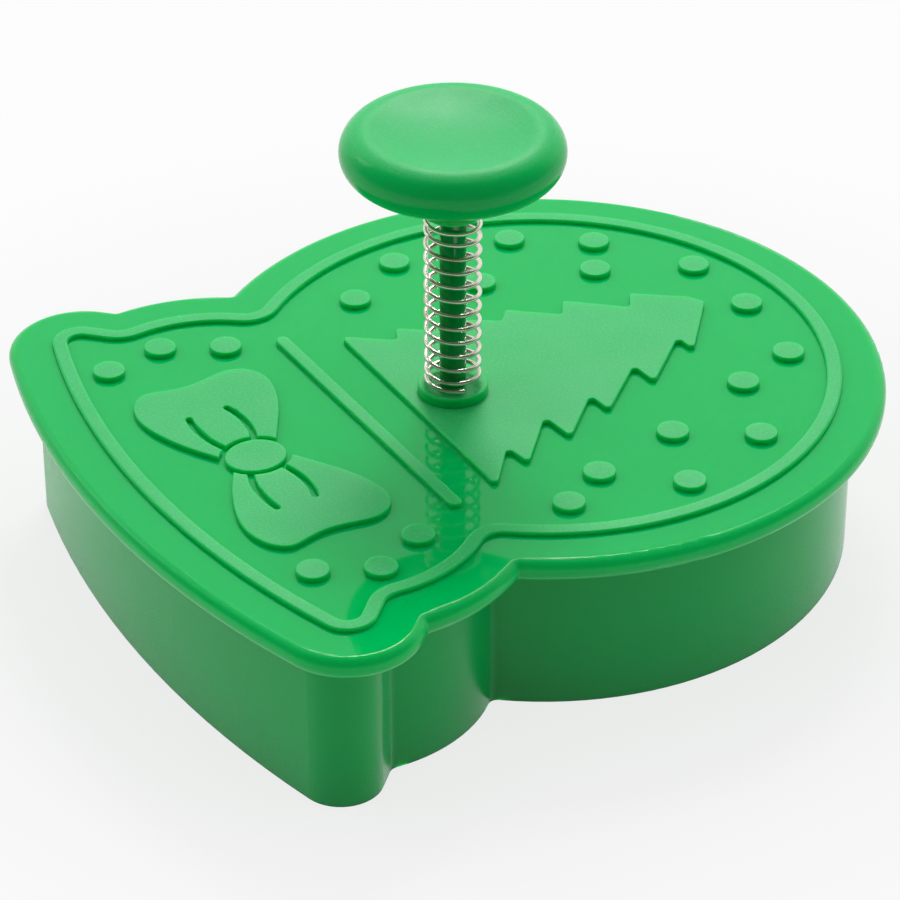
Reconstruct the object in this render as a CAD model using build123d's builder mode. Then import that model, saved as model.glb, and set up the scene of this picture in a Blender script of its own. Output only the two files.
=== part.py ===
import os
from math import asin, cos, degrees, pi, radians, sin, sqrt

from build123d import *

os.makedirs("parts", exist_ok=True)

# Plunger cutter in the outline of a snow globe that lies along X, its glass towards +X.
# Z = 0 is the table under the cutting edge, and the rim is centred on X and Y.

# Outline, along the middle of the raised ridge; insets are measured from the foot's edge along X
rim_length = 80.0
rim_margin = 4.95
globe_radius = 28.1
shoulder_radius = 13.5
shoulder_inset = 12.85
shoulder_offset = 11.65
foot_radius = 88.0
foot_half_width = 34.95
foot_apex_inset = 34.9
neck_radius = 2.7
step_radius = 3.0
corner_radius = 2.0
rim_notch_radius = 0.3

# Plate, rim and skirt of the body
body_height = 17.55
plate_thickness = 2.0
rim_thickness = 2.2
rim_edge_radius = 1.0
skirt_wall = 1.2
cutting_edge_wall = 0.5
cutting_bevel_height = 3.0

# Skirt's outline: its foot is straighter than the ridge's and stands a little to -Y; and its margin outside it
skirt_foot_radius = 110.0
skirt_foot_edge_y = -1.2
skirt_foot_y = -0.3
skirt_foot_half_width = 33.9
skirt_apex_inset = 33.85
skirt_shoulder_inset = 11.85
skirt_shoulder_offset = 12.0
skirt_margin = 1.9

# Relief on the plate
ridge_width = 1.5
ridge_height = 0.45
ridge_edge_radius = 0.25
relief_height = 0.5
relief_edge_radius = 0.15
dot_diameter = 3.1
dot_height = 0.55

# Bar between the globe and its foot
bar_inset = 22.85
bar_width = 1.3
bar_length = 33.6

# Tree, its base behind the globe's centre, its tips and notches as shares of its length and half width
tree_base_offset = 14.75
tree_length = 34.6
tree_half_width = 15.6
tree_tip_radius = 0.4
tree_left_shares = [
    (0.02, 0.89), (0.145, 0.675), (0.175, 0.8), (0.29, 0.605), (0.325, 0.725), (0.45, 0.54),
    (0.49, 0.64), (0.615, 0.41), (0.655, 0.55), (0.8, 0.27), (0.84, 0.41), (0.975, 0.185),
]
tree_top_share = (1.0, 0.085)
tree_right_shares = [
    (0.83, -0.355), (0.825, -0.19), (0.645, -0.54), (0.64, -0.325), (0.46, -0.67), (0.455, -0.475),
    (0.3, -0.8), (0.29, -0.54), (0.135, -0.915), (0.125, -0.705), (0.005, -1.03),
]

# Bow, one loop as shares of its half length along X and half width along Y
bow_inset = 10.95
bow_y = -0.3
bow_half_length = 7.0
bow_half_width = 14.5
bow_loop_shares = [
    (-0.42, 0.08), (-0.69, 0.3), (-0.86, 0.5), (-0.94, 0.69), (-0.91, 0.83), (-0.79, 0.945),
    (-0.63, 1.0), (-0.36, 0.985), (0.01, 0.955), (0.39, 0.98), (0.7, 0.99), (0.94, 0.925),
    (1.05, 0.81), (1.03, 0.67), (0.9, 0.49), (0.67, 0.29), (0.4, 0.08),
]
bow_groove_shares = [
    [(-0.35, 0.59), (-0.38, 0.41), (-0.22, 0.12)],
    [(0.22, 0.59), (0.28, 0.42), (0.12, 0.12)],
]
bow_groove_width = 0.6
knot_half_length = 2.95
knot_half_width = 2.6
knot_gap = 0.5

# Dots, as shares of the globe's radius about its centre and of the bow about its knot
globe_dot_shares = [
    (-0.33, 0.69), (-0.085, 0.84), (0.105, 0.565), (0.35, 0.77), (0.6, 0.6), (0.5, 0.435),
    (0.815, 0.28), (0.83, -0.03), (0.77, -0.37), (0.53, -0.45), (0.4, -0.745), (0.155, -0.585),
    (0.04, -0.86), (-0.185, -0.665), (-0.365, -0.765),
]
foot_dot_shares = [
    (-0.71, 1.39), (0.165, 1.475), (0.955, 1.27), (-0.63, -1.29), (0.145, -1.475), (0.915, -1.29),
]

# Stem, behind the globe's centre, its guide in the body and the boss round it
stem_offset = 9.7
stem_diameter = 2.5
guide_clearance = 0.08
boss_diameter = 6.7
boss_height = 1.45
boss_edge_radius = 0.2

# Stamp plate, which hangs under the plate and slides in the skirt
stamp_thickness = 2.4
stamp_side_clearance = 0.3
stamp_top_gap = 0.2
stamp_relief_height = 0.8
stamp_hub_diameter = 4.2
stamp_hub_height = 1.6
stamp_hub_clearance = 0.3
stem_socket_floor = 0.8

# Knob
knob_diameter = 20.9
knob_edge_radius = 2.42
knob_height = 8.85
knob_hub_diameter = 5.5
knob_hub_length = 1.6
knob_dish_depth = 0.9
stem_depth_in_knob = 5.2

# Spring
spring_outer_diameter = 5.5
spring_wire = 0.45
spring_length = 18.2
spring_turns = 12.75
spring_end_pitch = 0.92
spring_end_turns = 1.0
spring_blend_turns = 0.5
spring_seat_gap = 0.1
spring_start_angle = -96.0

# Overrun of every cut
overrun = 1.0


# Outline of the globe on its foot
foot_x = rim_margin - rim_length / 2
globe_x = rim_length / 2 - rim_margin - globe_radius
bar_x = foot_x + bar_inset
bow_x = foot_x + bow_inset
tree_base_x = globe_x - tree_base_offset
stem_x = globe_x - stem_offset


def draw_globe_on_foot(edge_radius, edge_y, foot_y, half_width, apex_inset, side_inset, side_offset):
    with BuildSketch() as sharp:
        with BuildLine():
            Polyline(
                (foot_x, foot_y - half_width),
                (foot_x + apex_inset, foot_y),
                (foot_x, foot_y + half_width),
                close=True,
            )
        make_face()
        with Locations((foot_x + side_inset, -side_offset), (foot_x + side_inset, side_offset)):
            Circle(shoulder_radius)
        with Locations((globe_x, 0)):
            Circle(globe_radius)
        with Locations((foot_x + edge_radius, edge_y)):
            Circle(edge_radius, mode=Mode.INTERSECT)
        fillet(sharp.vertices().sort_by(Axis.X)[:2], corner_radius)
    return sharp


def round_notches(sharp):
    with BuildSketch() as rounded:
        add(sharp.sketch)
        fillet(rounded.vertices().sort_by(Axis.X)[-4:-2], step_radius)
        fillet(rounded.vertices().sort_by(Axis.X)[-2:], neck_radius)
    return rounded


sharp_outline = draw_globe_on_foot(
    foot_radius, 0, 0, foot_half_width, foot_apex_inset, shoulder_inset, shoulder_offset
)
outline = round_notches(sharp_outline)
skirt_outline = round_notches(
    draw_globe_on_foot(
        skirt_foot_radius,
        skirt_foot_edge_y,
        skirt_foot_y,
        skirt_foot_half_width,
        skirt_apex_inset,
        skirt_shoulder_inset,
        skirt_shoulder_offset,
    )
)

# Tree
with BuildSketch() as tree:
    with BuildLine():
        Polyline(
            [
                (tree_base_x + along * tree_length, across * tree_half_width)
                for along, across in tree_left_shares + [tree_top_share] + tree_right_shares
            ],
            close=True,
        )
    make_face()
    fillet(tree.vertices(), tree_tip_radius)

# Bow: two loops with two grooves each, and the knot between them
groove_lines = [
    ThreePointArc(*[(along * bow_half_length, across * bow_half_width) for along, across in groove])
    for groove in bow_groove_shares
]
with BuildSketch() as bow_loop:
    with BuildLine():
        loop_line = Spline(
            *[(along * bow_half_length, across * bow_half_width) for along, across in bow_loop_shares]
        )
        Line(loop_line @ 1, loop_line @ 0)
    make_face()
    Ellipse(knot_half_length + knot_gap, knot_half_width + knot_gap, mode=Mode.SUBTRACT)
    for groove_line in groove_lines:
        SlotArc(groove_line, bow_groove_width, mode=Mode.SUBTRACT)

with BuildSketch() as bow:
    with Locations((bow_x, bow_y)):
        add(bow_loop.sketch)
        add(bow_loop.sketch.mirror(Plane.XZ))
        Ellipse(knot_half_length, knot_half_width)

# Bar and dots
with BuildSketch() as bar:
    with Locations((bar_x, 0)):
        SlotOverall(bar_length, bar_width, rotation=90)

dot_places = [
    (globe_x + along * globe_radius, across * globe_radius) for along, across in globe_dot_shares
] + [
    (bow_x + along * bow_half_length, bow_y + across * bow_half_width) for along, across in foot_dot_shares
]
with BuildSketch() as dots:
    with Locations(*dot_places):
        Circle(dot_diameter / 2)

# Heights that the pieces share
roof_height = body_height - plate_thickness
boss_top_height = body_height + boss_height
knob_hub_bottom_height = boss_top_height + spring_length + 2 * spring_seat_gap
knob_top_height = knob_hub_bottom_height + knob_height
guide_diameter = stem_diameter + 2 * guide_clearance
stamp_top_height = roof_height - stamp_top_gap
stamp_bottom_height = stamp_top_height - stamp_thickness

# Ridge, tree, bow, bar and dots, raised on the plate with their top edges rounded
with BuildSketch() as ridge:
    offset(outline.sketch, amount=ridge_width / 2)
    offset(outline.sketch, amount=-ridge_width / 2, mode=Mode.SUBTRACT)

reliefs = []
for motif, height, edge_radius in (
    (ridge, ridge_height, ridge_edge_radius),
    (tree, relief_height, relief_edge_radius),
    (bow, relief_height, relief_edge_radius),
    (bar, relief_height, relief_edge_radius),
    (dots, dot_height, relief_edge_radius),
):
    with BuildPart() as raised:
        with BuildSketch(Plane.XY.offset(body_height)):
            add(motif.sketch)
        extrude(amount=height)
        fillet(raised.faces().filter_by(Axis.Z).group_by(Axis.Z)[-1].edges(), edge_radius)
    reliefs.append(raised.part)

# Cutter body
with BuildPart() as cutter_body:
    # Rim and plate
    with BuildSketch(Plane.XY.offset(body_height - rim_thickness)) as rim_face:
        offset(sharp_outline.sketch, amount=rim_margin)
        fillet(rim_face.vertices().group_by(Axis.X)[-1], rim_notch_radius)
        fillet(rim_face.vertices().group_by(Axis.X)[-3], rim_notch_radius)
    extrude(amount=rim_thickness)
    fillet(cutter_body.faces().filter_by(Axis.Z).edges(), rim_edge_radius)

    # Skirt, hollow inside, with its lower edge bevelled to cut
    with BuildSketch():
        offset(skirt_outline.sketch, amount=skirt_margin)
    extrude(amount=body_height - rim_edge_radius)
    with BuildSketch():
        offset(skirt_outline.sketch, amount=skirt_margin - skirt_wall)
    extrude(amount=roof_height, mode=Mode.SUBTRACT)
    chamfer(
        cutter_body.faces().sort_by(Axis.Z)[0].inner_wires()[0].edges(),
        length=skirt_wall - cutting_edge_wall,
        length2=cutting_bevel_height,
        reference=cutter_body.faces().sort_by(Axis.Z)[0],
    )

    # Ridge and picture
    for relief in reliefs:
        add(relief)

    # Boss, the guide for the stem and the pocket for the stamp's hub
    with BuildSketch(Plane.XY.offset(body_height)):
        with Locations((stem_x, 0)):
            Circle(boss_diameter / 2)
    extrude(amount=boss_height)
    fillet(cutter_body.faces().sort_by(Axis.Z)[-1].edges(), boss_edge_radius)
    with BuildSketch(Plane.XY.offset(roof_height)):
        with Locations((stem_x, 0)):
            Circle(stamp_hub_diameter / 2 + stamp_hub_clearance)
    extrude(amount=stamp_hub_height + stamp_hub_clearance - stamp_top_gap, mode=Mode.SUBTRACT)
    with BuildSketch(Plane.XY.offset(roof_height)):
        with Locations((stem_x, 0)):
            Circle(guide_diameter / 2)
    extrude(amount=boss_top_height - roof_height + overrun, mode=Mode.SUBTRACT)

# Stamp plate
with BuildPart() as stamp_plate:
    with BuildSketch(Plane.XY.offset(stamp_bottom_height)):
        offset(skirt_outline.sketch, amount=skirt_margin - skirt_wall - stamp_side_clearance)
    extrude(amount=stamp_thickness)
    with BuildSketch(Plane.XY.offset(stamp_bottom_height)):
        add(tree.sketch)
        add(bow.sketch)
        add(bar.sketch)
        add(dots.sketch)
    extrude(amount=-stamp_relief_height)
    with BuildSketch(Plane.XY.offset(stamp_top_height)):
        with Locations((stem_x, 0)):
            Circle(stamp_hub_diameter / 2)
    extrude(amount=stamp_hub_height)
    with BuildSketch(Plane.XY.offset(stamp_bottom_height + stem_socket_floor)):
        with Locations((stem_x, 0)):
            Circle(stem_diameter / 2)
    extrude(amount=stamp_thickness + stamp_hub_height, mode=Mode.SUBTRACT)

# Stem
stem_bottom_height = stamp_bottom_height + stem_socket_floor
stem_top_height = knob_hub_bottom_height + stem_depth_in_knob
with BuildPart() as plunger_stem:
    with BuildSketch(Plane.XY.offset(stem_bottom_height)):
        with Locations((stem_x, 0)):
            Circle(stem_diameter / 2)
    extrude(amount=stem_top_height - stem_bottom_height)

# Knob, turned about the stem: half its section, from the hub up round the edge to the dish
knob_crest_radius = knob_diameter / 2 - knob_edge_radius
knob_middle_height = knob_top_height - knob_edge_radius
knob_hub_top_height = knob_hub_bottom_height + knob_hub_length
# The dish is part of a ball that runs smoothly into the rounded edge
knob_dish_radius = (knob_crest_radius**2 + knob_dish_depth**2) / (2 * knob_dish_depth) - knob_edge_radius
knob_dish_slope = degrees(asin(knob_crest_radius / (knob_dish_radius + knob_edge_radius)))
with BuildPart() as knob:
    with BuildSketch(Plane((stem_x, 0, 0), x_dir=(1, 0, 0), z_dir=(0, -1, 0))):
        with BuildLine():
            Polyline(
                (0, knob_top_height - knob_dish_depth),
                (0, knob_hub_bottom_height),
                (knob_hub_diameter / 2, knob_hub_bottom_height),
                (knob_hub_diameter / 2, knob_hub_top_height),
            )
            edge = CenterArc(
                (knob_crest_radius, knob_middle_height), knob_edge_radius, -90, 180 + knob_dish_slope
            )
            TangentArc(edge @ 0, (knob_hub_diameter / 2, knob_hub_top_height), tangent=(-1, 0))
            TangentArc((0, knob_top_height - knob_dish_depth), edge @ 1, tangent=(1, 0))
        make_face()
    revolve(axis=Axis((stem_x, 0, 0), (0, 0, 1)))
    with BuildSketch(Plane.XY.offset(knob_hub_bottom_height)):
        with Locations((stem_x, 0)):
            Circle(stem_diameter / 2)
    extrude(amount=stem_depth_in_knob, mode=Mode.SUBTRACT)

# Spring: the pitch is small at both ends and grows to one open pitch between them
coil_radius = (spring_outer_diameter - spring_wire) / 2
coil_bottom = boss_top_height + spring_seat_gap + spring_wire / 2
coil_top = knob_hub_bottom_height - spring_seat_gap - spring_wire / 2
quarter_count = round(4 * spring_turns)


def open_share(quarter):
    """How far the pitch is from closed, 0, to open, 1, at a quarter turn."""
    turns_from_end = min(quarter, quarter_count - quarter) / 4
    share = min(max((turns_from_end - spring_end_turns) / spring_blend_turns, 0), 1)
    return (1 - cos(pi * share)) / 2


open_turns = sum(open_share(quarter) + open_share(quarter + 1) for quarter in range(quarter_count)) / 8
closed_rise = spring_end_pitch * quarter_count / 4
spring_open_pitch = spring_end_pitch + (coil_top - coil_bottom - closed_rise) / open_turns
pitches = [
    spring_end_pitch + (spring_open_pitch - spring_end_pitch) * open_share(quarter)
    for quarter in range(quarter_count + 1)
]

coil_points = []
coil_tangents = []
coil_height = coil_bottom
for quarter, pitch in enumerate(pitches):
    angle = radians(spring_start_angle + 90 * quarter)
    coil_points.append(Vector(stem_x + coil_radius * cos(angle), coil_radius * sin(angle), coil_height))
    coil_tangents.append(
        Vector(-coil_radius * sin(angle), coil_radius * cos(angle), pitch / (2 * pi)).normalized()
    )
    coil_height += (pitch + pitches[min(quarter + 1, quarter_count)]) / 8

with BuildLine() as spring_path:
    Line(coil_points[0] - coil_tangents[0] * spring_wire, coil_points[0])
    for quarter in range(quarter_count):
        # Two arcs that meet tangent to each other in the middle of the quarter turn
        chord = coil_points[quarter + 1] - coil_points[quarter]
        tangent_sum = coil_tangents[quarter] + coil_tangents[quarter + 1]
        square_term = 2 * (1 - coil_tangents[quarter].dot(coil_tangents[quarter + 1]))
        along_term = chord.dot(tangent_sum)
        root_term = sqrt(along_term**2 + square_term * chord.dot(chord))
        reach = (root_term - along_term) / square_term
        first_handle = coil_points[quarter] + coil_tangents[quarter] * reach
        second_handle = coil_points[quarter + 1] - coil_tangents[quarter + 1] * reach
        middle = (first_handle + second_handle) / 2
        TangentArc(coil_points[quarter], middle, tangent=coil_tangents[quarter])
        TangentArc(middle, coil_points[quarter + 1], tangent=second_handle - first_handle)
    Line(coil_points[-1], coil_points[-1] + coil_tangents[-1] * spring_wire)

with BuildPart() as return_spring:
    with BuildSketch(Plane(spring_path.line @ 0, z_dir=coil_tangents[0])):
        Circle(spring_wire / 2)
    sweep(path=spring_path.line)

# Least gap between one turn of the spring and the next, from points along its middle
points_per_turn = 72
path_points = [
    spring_path.line @ (step / (points_per_turn * spring_turns))
    for step in range(int(points_per_turn * spring_turns) + 1)
]
least_gap = min(
    (path_points[first] - path_points[second]).length - spring_wire
    for first in range(len(path_points))
    for second in range(first + points_per_turn // 2, min(first + 2 * points_per_turn, len(path_points)))
)
print(f"Spring: open pitch {spring_open_pitch:.2f} mm, least gap to itself {least_gap:.2f} mm")

pieces = {
    "cutter_body": cutter_body,
    "stamp_plate": stamp_plate,
    "plunger_stem": plunger_stem,
    "knob": knob,
    "return_spring": return_spring,
}
for name, piece in pieces.items():
    piece.part.label = name
    export_step(piece.part, f"parts/{name}.step")
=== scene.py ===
import math

import bpy
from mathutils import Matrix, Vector


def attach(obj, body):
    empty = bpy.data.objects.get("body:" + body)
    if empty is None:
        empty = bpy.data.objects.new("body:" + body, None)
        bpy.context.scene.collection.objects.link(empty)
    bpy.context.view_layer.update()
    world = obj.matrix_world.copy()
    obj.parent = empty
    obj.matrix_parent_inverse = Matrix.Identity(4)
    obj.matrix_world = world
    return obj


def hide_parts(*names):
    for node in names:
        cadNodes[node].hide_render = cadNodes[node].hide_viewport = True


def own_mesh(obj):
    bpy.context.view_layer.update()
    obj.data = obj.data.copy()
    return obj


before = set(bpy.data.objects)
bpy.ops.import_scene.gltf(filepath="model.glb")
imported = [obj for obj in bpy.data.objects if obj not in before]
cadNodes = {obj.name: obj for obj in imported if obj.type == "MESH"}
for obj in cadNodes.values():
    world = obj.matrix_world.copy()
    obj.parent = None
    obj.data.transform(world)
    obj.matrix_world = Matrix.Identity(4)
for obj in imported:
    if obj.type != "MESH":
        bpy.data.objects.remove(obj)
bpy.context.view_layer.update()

print("frame loaded:", ", ".join(sorted(cadNodes)))


# Helpers for modelling and for materials

def selectNothing():
    if bpy.context.object and bpy.context.object.mode != "OBJECT":
        bpy.ops.object.mode_set(mode="OBJECT")
    bpy.ops.object.select_all(action="DESELECT")


def newMaterial(name):
    material = bpy.data.materials.new(name)
    material.use_nodes = True
    material.node_tree.nodes.clear()
    return material


def addNode(tree, kind, column, row, **settings):
    node = tree.nodes.new(kind)
    node.location = (column * 220, row * -220)  # a grid with room for a node in each cell
    for setting, value in settings.items():
        setattr(node, setting, value)
    return node


def feed(tree, socket, value):  # by a link or with a fixed value
    if isinstance(value, bpy.types.NodeSocket):
        tree.links.new(value, socket)
    else:
        socket.default_value = value


def calculate(tree, column, row, operation, first, second):
    node = addNode(tree, "ShaderNodeMath", column, row, operation=operation)
    feed(tree, node.inputs[0], first)
    feed(tree, node.inputs[1], second)
    return node.outputs[0]


mixSockets = {"RGBA": (0, 6, 7, 2), "FLOAT": (0, 2, 3, 0)}  # where a Mix node has its share, A, B and result


def mix(tree, column, row, kind, share, first, second):
    node = addNode(tree, "ShaderNodeMix", column, row, data_type=kind)
    *sockets, result = mixSockets[kind]
    for socket, value in zip(sockets, (share, first, second)):
        feed(tree, node.inputs[socket], value)
    return node.outputs[result]


def mixColours(tree, column, row, share, first, second):
    return mix(tree, column, row, "RGBA", share, first, second)


def blendValues(tree, column, row, share, first, second):
    return mix(tree, column, row, "FLOAT", share, first, second)


def rampBetween(tree, column, row, source, low, high, toLow=0.0, toHigh=1.0):
    node = addNode(tree, "ShaderNodeMapRange", column, row, interpolation_type="SMOOTHSTEP")
    tree.links.new(source, node.inputs["Value"])
    node.inputs["From Min"].default_value = low
    node.inputs["From Max"].default_value = high
    node.inputs["To Min"].default_value = toLow
    node.inputs["To Max"].default_value = toHigh
    return node.outputs["Result"]


def addNoise(tree, column, row, position, scale, detail):
    node = addNode(tree, "ShaderNodeTexNoise", column, row)
    tree.links.new(position, node.inputs["Vector"])
    feed(tree, node.inputs["Scale"], scale)
    node.inputs["Detail"].default_value = detail
    return node.outputs["Fac"]


def showSurface(tree, column, shader):
    output = addNode(tree, "ShaderNodeOutputMaterial", column, 0)
    tree.links.new(shader.outputs[0], output.inputs["Surface"])


# Moulded skin: the slow ripple of a polished mould, the fine grain of an etched one and a faint mottle

skinDetail = {"Ripple": 1.0, "Grain": 3.0, "Mottle": 4.0}
skinMottleScale = 160.0
skinUnit = 0.001  # the skin's heights are in millimetres


def makeMouldedSkin():
    group = bpy.data.node_groups.new("mouldedSkin", "ShaderNodeTree")
    sockets = group.interface
    sockets.new_socket("Position", in_out="INPUT", socket_type="NodeSocketVector")
    for name in ("Ripple Size", "Ripple Height", "Grain Size", "Grain Height"):
        sockets.new_socket(name, in_out="INPUT", socket_type="NodeSocketFloat")
    for name in ("Height", "Mottle", "Speckle"):
        sockets.new_socket(name, in_out="OUTPUT", socket_type="NodeSocketFloat")
    inside = addNode(group, "NodeGroupInput", 0, 0)
    outside = addNode(group, "NodeGroupOutput", 5, 0)
    position = inside.outputs["Position"]
    noises = {}
    heights = []
    for row, layer in enumerate(("Ripple", "Grain")):
        scale = calculate(group, 1, row, "DIVIDE", 1.0, inside.outputs[layer + " Size"])
        noises[layer] = addNoise(group, 2, row, position, scale, skinDetail[layer])
        heights.append(calculate(group, 3, row, "MULTIPLY", noises[layer], inside.outputs[layer + " Height"]))
    mottle = addNoise(group, 2, 2, position, skinMottleScale, skinDetail["Mottle"])
    group.links.new(calculate(group, 4, 0, "ADD", *heights), outside.inputs["Height"])
    group.links.new(mottle, outside.inputs["Mottle"])
    group.links.new(noises["Grain"], outside.inputs["Speckle"])
    return group


mouldedSkin = makeMouldedSkin()


def addSkin(tree, look, position, etched, level):
    grainHeight = blendValues(tree, 3, 4, level, look["satinGrain"], look["polishedGrain"])
    grainHeight = blendValues(tree, 3, 3, etched, grainHeight, look["etchedGrain"])
    skin = addNode(tree, "ShaderNodeGroup", 4, 2, node_tree=mouldedSkin)
    tree.links.new(position, skin.inputs["Position"])
    skin.inputs["Ripple Size"].default_value = look["rippleSize"]
    skin.inputs["Ripple Height"].default_value = look["rippleHeight"]
    skin.inputs["Grain Size"].default_value = look["grainSize"]
    tree.links.new(grainHeight, skin.inputs["Grain Height"])
    return skin


# Plastic: etched on the tops of the relief, polished where it lies flat and satin on its slopes

def etchedMask(tree, look, height, facing):
    high = rampBetween(tree, 2, 1, height, *look["etchedFrom"])
    upward = rampBetween(tree, 2, 2, facing, *look["etchedFacing"])
    return calculate(tree, 3, 1, "MULTIPLY", high, upward)


# Painted light: a band round the rim's side wall, brightened for light that shines through the rim
def paintedGlowMask(tree, look, height, facing):
    above = rampBetween(tree, 2, 5, height, *look["paintedGlowFrom"])
    below = rampBetween(tree, 2, 6, height, *look["paintedGlowUpTo"], toLow=1.0, toHigh=0.0)
    sideways = rampBetween(tree, 2, 7, facing, *look["paintedGlowFacing"], toLow=1.0, toHigh=0.0)
    band = calculate(tree, 3, 5, "MULTIPLY", above, below)
    return calculate(tree, 3, 6, "MULTIPLY", band, sideways)


def plasticColour(tree, look, skin, etched, paintedGlow):
    # painted light: the rim's edge band takes the brighter glow colour
    polished = mixColours(tree, 4, 5, paintedGlow, look["polishedColour"], look["paintedGlowColour"])
    colour = mixColours(tree, 5, 0, etched, polished, look["etchedColour"])
    shade = rampBetween(tree, 5, 1, skin.outputs["Mottle"], *look["mottleRange"], 0.0, look["mottleShare"])
    colour = mixColours(tree, 6, 0, shade, colour, look["mottleColour"])
    bright = rampBetween(tree, 5, 4, skin.outputs["Speckle"], *look["speckleRange"], 0.0, look["speckleShare"])
    bright = calculate(tree, 6, 4, "MULTIPLY", bright, etched)
    return mixColours(tree, 7, 0, bright, colour, look["speckleColour"])


def plasticRoughness(tree, look, skin, etched, level):
    smooth = blendValues(tree, 4, 4, level, look["satinRoughness"], look["polishedRoughness"])
    roughness = blendValues(tree, 5, 3, etched, smooth, look["etchedRoughness"])
    least, most = 1.0 - look["roughnessSpread"], 1.0 + look["roughnessSpread"]
    uneven = rampBetween(tree, 6, 3, skin.outputs["Mottle"], *look["mottleRange"], least, most)
    return calculate(tree, 7, 3, "MULTIPLY", roughness, uneven)


def mouldedPlastic(name, look):
    material = newMaterial(name)
    tree = material.node_tree
    place = addNode(tree, "ShaderNodeTexCoord", 0, 0)
    axes = addNode(tree, "ShaderNodeSeparateXYZ", 1, 1)
    tree.links.new(place.outputs["Object"], axes.inputs[0])
    slopes = addNode(tree, "ShaderNodeSeparateXYZ", 1, 2)
    tree.links.new(place.outputs["Normal"], slopes.inputs[0])
    height, facing = axes.outputs["Z"], slopes.outputs["Z"]

    etched = etchedMask(tree, look, height, facing)
    paintedGlow = paintedGlowMask(tree, look, height, facing)
    level = rampBetween(tree, 2, 4, facing, *look["satinFacing"])
    skin = addSkin(tree, look, place.outputs["Object"], etched, level)
    bump = addNode(tree, "ShaderNodeBump", 6, 2)
    bump.inputs["Distance"].default_value = skinUnit
    tree.links.new(skin.outputs["Height"], bump.inputs["Height"])

    shader = addNode(tree, "ShaderNodeBsdfPrincipled", 8, 0)
    tree.links.new(plasticColour(tree, look, skin, etched, paintedGlow), shader.inputs["Base Color"])
    tree.links.new(plasticRoughness(tree, look, skin, etched, level), shader.inputs["Roughness"])
    tree.links.new(bump.outputs["Normal"], shader.inputs["Normal"])
    shader.inputs["IOR"].default_value = look["ior"]
    shader.inputs["Specular IOR Level"].default_value = look["specular"]
    shader.inputs["Subsurface Weight"].default_value = look["milkiness"]
    shader.inputs["Subsurface Radius"].default_value = look["milkReach"]
    shader.inputs["Subsurface Scale"].default_value = look["milkDepth"]
    showSurface(tree, 10, shader)
    return material


def dress(node, material):
    mesh = cadNodes[node].data
    mesh.materials.clear()
    mesh.materials.append(material)


# The four green mouldings; a pair of heights or facings is where an effect begins and where it is full

bodyPlastic = {
    "polishedColour": (0.0, 0.54, 0.12, 1.0),
    "etchedColour": (0.02, 0.53, 0.145, 1.0),
    "paintedGlowColour": (0.0, 0.66, 0.15, 1.0),  # painted light: the rim's edge made brighter, standing in for light that shines through it
    "paintedGlowFrom": (0.0150, 0.0155),
    "paintedGlowUpTo": (0.01752, 0.01758),
    "paintedGlowFacing": (0.2, 0.75),
    "mottleColour": (0.0, 0.46, 0.08, 1.0),
    "mottleRange": (0.3, 0.7),
    "mottleShare": 0.1,
    "speckleColour": (0.22, 0.66, 0.34, 1.0),
    "speckleRange": (0.45, 0.7),
    "speckleShare": 0.2,
    "polishedRoughness": 0.03,
    "satinRoughness": 0.15,
    "satinFacing": (0.99, 0.9999),
    "satinGrain": 0.03,
    "etchedRoughness": 0.42,
    "roughnessSpread": 0.12,
    "etchedFrom": (0.01784, 0.01796),
    "etchedFacing": (0.85, 0.97),
    "rippleSize": 0.0035,
    "rippleHeight": 0.0025,
    "grainSize": 0.00022,
    "polishedGrain": 0.0004,
    "etchedGrain": 0.025,
    "ior": 1.49,
    "specular": 0.25,
    "milkiness": 1.0,
    "milkReach": (0.2, 1.0, 0.4),  # of red, green and blue light
    "milkDepth": 0.0015,
}
knobPlastic = {
    **bodyPlastic,
    "etchedFrom": (0.0403, 0.0428),
    "etchedFacing": (0.72, 0.92),
    "speckleShare": 0.12,
    "grainSize": 0.00028,
}
nowhere = (1.0, 2.0)  # far above the cutter
stemPlastic = {
    **bodyPlastic,
    "etchedFrom": nowhere,
    "polishedColour": (0.0, 0.22, 0.035, 1.0),
    "satinRoughness": 0.07,
    "satinGrain": 0.0,
    "specular": 1.0,
    "milkiness": 0.0,
}
stampPlastic = {
    **bodyPlastic,
    "etchedFrom": nowhere,
    "polishedRoughness": 0.2,
}
dress("cutter_body", mouldedPlastic("bodyPlastic", bodyPlastic))
dress("knob", mouldedPlastic("knobPlastic", knobPlastic))
dress("plunger_stem", mouldedPlastic("stemPlastic", stemPlastic))
dress("stamp_plate", mouldedPlastic("stampPlastic", stampPlastic))
print("green mouldings dressed")


# Spring: one steel wire, wound round the stem with a closed coil at each end

springRoom = 0.0184  # between the boss and the knob's hub, at rest
pressTravel = 0.0115
spring = {
    "centreX": -0.00275,
    "coilRadius": 0.002525,
    "wireRadius": 0.000225,
    "wireSides": 14,
    "bottom": 0.019325,  # heights of the wire's middle
    "top": 0.037075,
    "turns": 12.75,
    "stepsPerTurn": 44,
    "startAngle": math.radians(-96.0),
    "endPitch": 0.00092,
    "endTurns": 1.0,
    "blendTurns": 0.5,
    "straightEnd": 0.00045,
    "smoothAngle": math.radians(50.0),
    "seat": 0.019,
    "pressedShare": (springRoom - pressTravel) / springRoom,  # of its length at rest
}


def openShare(turn):
    fromEnd = min(turn, spring["turns"] - turn)
    share = min(max((fromEnd - spring["endTurns"]) / spring["blendTurns"], 0.0), 1.0)
    return (1 - math.cos(math.pi * share)) / 2


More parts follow.
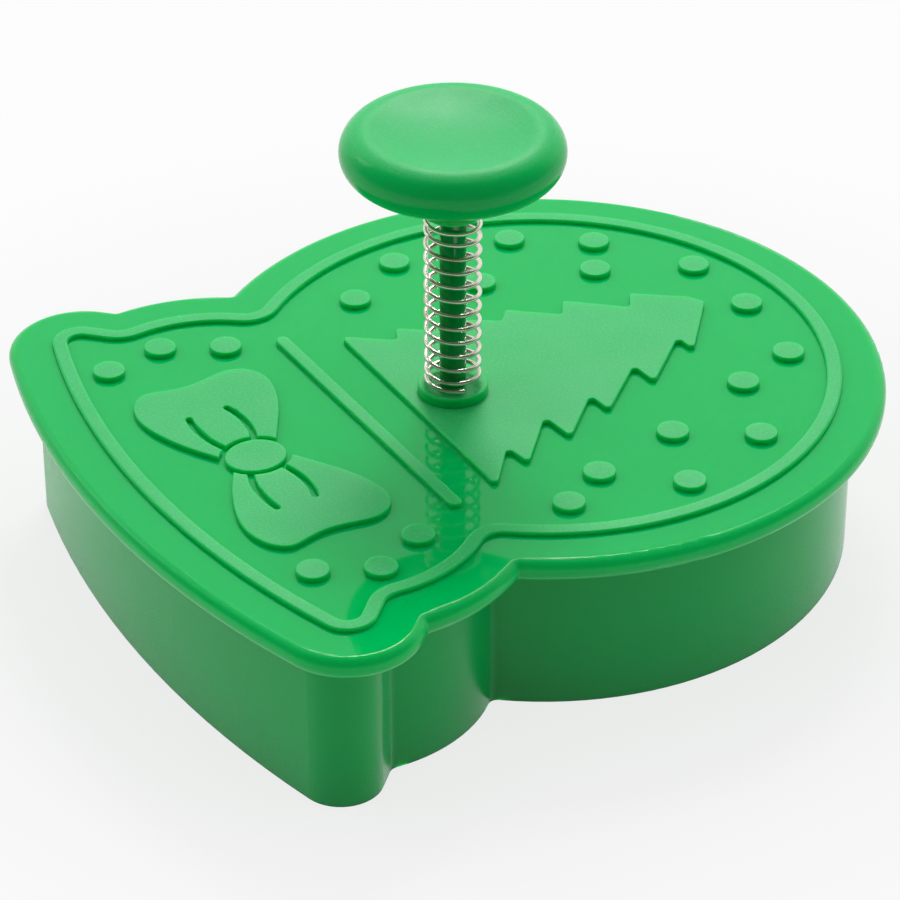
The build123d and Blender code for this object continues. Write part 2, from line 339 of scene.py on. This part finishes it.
def coilHeights(steps):
    turnsPerStep = spring["turns"] / steps
    opened = [openShare(turnsPerStep * ring) for ring in range(steps + 1)]
    shares = [(before + after) / 2 for before, after in zip(opened, opened[1:])]
    rise = spring["top"] - spring["bottom"]
    extraPitch = (rise - spring["endPitch"] * spring["turns"]) / (sum(shares) * turnsPerStep)
    heights = [0.0]
    for share in shares:
        heights.append(heights[-1] + (spring["endPitch"] + extraPitch * share) * turnsPerStep)
    return heights


def selectRing(wire, ring):
    bpy.ops.object.mode_set(mode="EDIT")
    bpy.ops.mesh.select_all(action="DESELECT")
    bpy.ops.object.mode_set(mode="OBJECT")
    for vertex in wire.data.vertices:
        vertex.select = vertex.index in ring
    bpy.ops.object.mode_set(mode="EDIT")


def closeEnd(wire, ring, angle, way):  # with a short straight length and a flat face
    along = Vector((-math.sin(angle), math.cos(angle), 0.0)) * (way * spring["straightEnd"])
    selectRing(wire, ring)
    bpy.ops.mesh.extrude_region_move(TRANSFORM_OT_translate={"value": along})
    bpy.ops.mesh.edge_face_add()
    bpy.ops.object.mode_set(mode="OBJECT")


def windSpring():
    steps = round(spring["turns"] * spring["stepsPerTurn"])
    sides = spring["wireSides"]
    startAngle = spring["startAngle"]
    wound = 2 * math.pi * spring["turns"]
    start = Vector((math.cos(startAngle), math.sin(startAngle), 0.0))
    selectNothing()
    bpy.ops.mesh.primitive_circle_add(
        vertices=sides,
        radius=spring["wireRadius"],
        location=start * spring["coilRadius"],
        rotation=(math.pi / 2, 0.0, startAngle),
    )
    wire = bpy.context.object
    wire.name = "returnSpring"
    bpy.ops.object.transform_apply(location=True, rotation=True, scale=True)
    bpy.ops.object.mode_set(mode="EDIT")
    bpy.ops.mesh.select_all(action="SELECT")
    bpy.ops.mesh.spin(steps=steps, angle=wound, center=(0, 0, 0), axis=(0, 0, 1))
    bpy.ops.object.mode_set(mode="OBJECT")
    heights = coilHeights(steps)
    for vertex in wire.data.vertices:  # the rings come one after another along the wire
        vertex.co += Vector((spring["centreX"], 0.0, spring["bottom"] + heights[vertex.index // sides]))
    closeEnd(wire, range(sides), startAngle, -1.0)
    closeEnd(wire, range(steps * sides, (steps + 1) * sides), startAngle + wound, 1.0)
    bpy.ops.object.mode_set(mode="EDIT")
    bpy.ops.mesh.select_all(action="SELECT")
    bpy.ops.mesh.normals_make_consistent(inside=False)
    bpy.ops.object.mode_set(mode="OBJECT")
    bpy.ops.object.shade_smooth_by_angle(angle=spring["smoothAngle"])
    return wire


steel = {
    "brightColour": (0.80, 0.75, 0.67, 1.0),
    "tarnishedColour": (0.50, 0.42, 0.33, 1.0),
    "tarnishScale": 350.0,
    "tarnishDetail": 3.0,
    "tarnishRange": (0.45, 0.75),
    "drawnScale": 2600.0,  # the marks that drawing leaves on the wire
    "drawnDetail": 4.0,
    "drawnRange": (0.3, 0.7),
    "drawnDepth": 0.000003,
    "roughness": (0.1, 0.2),
}


def springSteel():
    material = newMaterial("springSteel")
    tree = material.node_tree
    position = addNode(tree, "ShaderNodeTexCoord", 0, 0).outputs["Object"]
    drawn = addNoise(tree, 2, 0, position, steel["drawnScale"], steel["drawnDetail"])
    tarnish = addNoise(tree, 2, 1, position, steel["tarnishScale"], steel["tarnishDetail"])
    stain = rampBetween(tree, 3, 1, tarnish, *steel["tarnishRange"])
    colour = mixColours(tree, 4, 0, stain, steel["brightColour"], steel["tarnishedColour"])
    roughness = rampBetween(tree, 4, 1, drawn, *steel["drawnRange"], *steel["roughness"])
    bump = addNode(tree, "ShaderNodeBump", 4, 2)
    bump.inputs["Distance"].default_value = steel["drawnDepth"]
    tree.links.new(drawn, bump.inputs["Height"])
    shader = addNode(tree, "ShaderNodeBsdfPrincipled", 6, 0)
    shader.inputs["Metallic"].default_value = 1.0
    tree.links.new(colour, shader.inputs["Base Color"])
    tree.links.new(roughness, shader.inputs["Roughness"])
    tree.links.new(bump.outputs["Normal"], shader.inputs["Normal"])
    showSurface(tree, 8, shader)
    return material


steelSpring = windSpring()
steelSpring.data.materials.append(springSteel())
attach(steelSpring, "cutter")
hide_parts("return_spring")
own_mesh(steelSpring)
print("spring wound")


# Floor, light and background

studio = {
    "floorSize": 6.0,
    "floorColour": (0.66, 0.67, 0.66, 1.0),
    "background": (0.985, 0.988, 0.985, 1.0),
    "nearShare": 0.8,  # of plain background in the floor as the camera sees it, by the cutter; less there, so the floor darkens round the cutter, partly its real shadow and partly painted shade
    "farShare": 0.96,  # and away from it
    "nearTo": 0.04,
    "farFrom": 0.09,
    "mirroredShare": 0.7,  # and as reflections show it
    "wallSide": (0.512, 0.859, 0.0),  # towards the pale wall behind the cutter
    "wallEdge": (-0.9, 0.1),  # where it ends, as seen from the cutter
    "wallLight": 0.86,
    "roomLight": 0.11,
    "mirroredEdge": (0.0, 0.7),
    "roomReflection": 0.12,
    "fullStrength": 1.0,  # shows the background in its own colour
    "keyPlace": (0.216, 0.30, 0.474),
    "keySize": (0.2, 0.14),
    "keyPower": 1.5,
    "fillPlace": (-0.26, 0.42, 0.32),
    "fillSize": (0.1, 0.16),
    "fillPower": 0.12,
}


def howSeen(tree):  # by the camera, and in a reflection or through glass
    path = addNode(tree, "ShaderNodeLightPath", 0, 3)
    mirrored, through = path.outputs["Is Glossy Ray"], path.outputs["Is Transmission Ray"]
    return path.outputs["Is Camera Ray"], calculate(tree, 1, 3, "MAXIMUM", mirrored, through)


def layFloor():
    selectNothing()
    bpy.ops.mesh.primitive_plane_add(size=studio["floorSize"])
    floor = bpy.context.object
    floor.name = "floor"
    material = newMaterial("floorPaper")
    tree = material.node_tree
    paper = addNode(tree, "ShaderNodeBsdfDiffuse", 2, 0)
    paper.inputs["Color"].default_value = studio["floorColour"]
    white = addNode(tree, "ShaderNodeEmission", 2, 1)
    white.inputs["Color"].default_value = studio["background"]
    place = addNode(tree, "ShaderNodeTexCoord", 0, 5)
    away = addNode(tree, "ShaderNodeVectorMath", 1, 5, operation="LENGTH")
    tree.links.new(place.outputs["Object"], away.inputs[0])
    # painted shade: the floor as the camera sees it grows darker towards the cutter, over its real shadow
    plain = rampBetween(
        tree, 2, 5, away.outputs["Value"],
        studio["nearTo"], studio["farFrom"], studio["nearShare"], studio["farShare"],
    )
    byCamera, byReflection = howSeen(tree)
    share = calculate(tree, 3, 3, "MULTIPLY", byReflection, studio["mirroredShare"])
    share = blendValues(tree, 4, 3, byCamera, share, plain)
    mixed = addNode(tree, "ShaderNodeMixShader", 5, 0)
    tree.links.new(share, mixed.inputs[0])
    tree.links.new(paper.outputs[0], mixed.inputs[1])
    tree.links.new(white.outputs[0], mixed.inputs[2])
    showSurface(tree, 6, mixed)
    floor.data.materials.append(material)


def lightSky():
    world = bpy.data.worlds.new("studio")
    bpy.context.scene.world = world
    world.use_nodes = True
    tree = world.node_tree
    tree.nodes.clear()
    sky = addNode(tree, "ShaderNodeBackground", 9, 0)
    sky.inputs["Color"].default_value = studio["background"]
    way = addNode(tree, "ShaderNodeTexCoord", 0, 0)
    towards = addNode(tree, "ShaderNodeVectorMath", 1, 0, operation="DOT_PRODUCT")
    tree.links.new(way.outputs["Generated"], towards.inputs[0])
    towards.inputs[1].default_value = studio["wallSide"]
    side = towards.outputs["Value"]
    full = studio["fullStrength"]
    light = rampBetween(tree, 2, 0, side, *studio["wallEdge"], studio["roomLight"], studio["wallLight"])
    mirrored = rampBetween(tree, 2, 1, side, *studio["mirroredEdge"], studio["roomReflection"], full)
    byCamera, byReflection = howSeen(tree)
    strength = blendValues(tree, 4, 0, byReflection, light, mirrored)
    strength = blendValues(tree, 6, 0, byCamera, strength, full)
    tree.links.new(strength, sky.inputs["Strength"])
    output = addNode(tree, "ShaderNodeOutputWorld", 10, 0)
    tree.links.new(sky.outputs[0], output.inputs["Surface"])


def softbox(name, place, size, power):
    selectNothing()
    bpy.ops.object.light_add(type="AREA", location=place)
    lamp = bpy.context.object
    lamp.name = name
    lamp.data.shape = "RECTANGLE"
    lamp.data.size, lamp.data.size_y = size
    lamp.data.energy = power
    lamp.rotation_euler = (-Vector(place)).to_track_quat("-Z", "Y").to_euler()


layFloor()
lightSky()
softbox("keySoftbox", studio["keyPlace"], studio["keySize"], studio["keyPower"])
softbox("sideSoftbox", studio["fillPlace"], studio["fillSize"], studio["fillPower"])
print("studio lit")


# Camera

view = {
    "place": (-0.16656, -0.27425, 0.22074),
    "tilt": math.radians(90 - 33.2294),  # it looks down by 33 degrees
    "turn": math.radians(-30.8022),
    "lens": 160.0,
    "sensorWidth": 36.0,
    "shiftY": -0.0022,
    "clipStart": 0.01,
}
selectNothing()
bpy.ops.object.camera_add(location=view["place"], rotation=(view["tilt"], 0.0, view["turn"]))
camera = bpy.context.object
camera.data.lens = view["lens"]
camera.data.sensor_width = view["sensorWidth"]
camera.data.shift_y = view["shiftY"]
camera.data.clip_start = view["clipStart"]
bpy.context.scene.camera = camera
bpy.context.scene.view_settings.view_transform = "Standard"
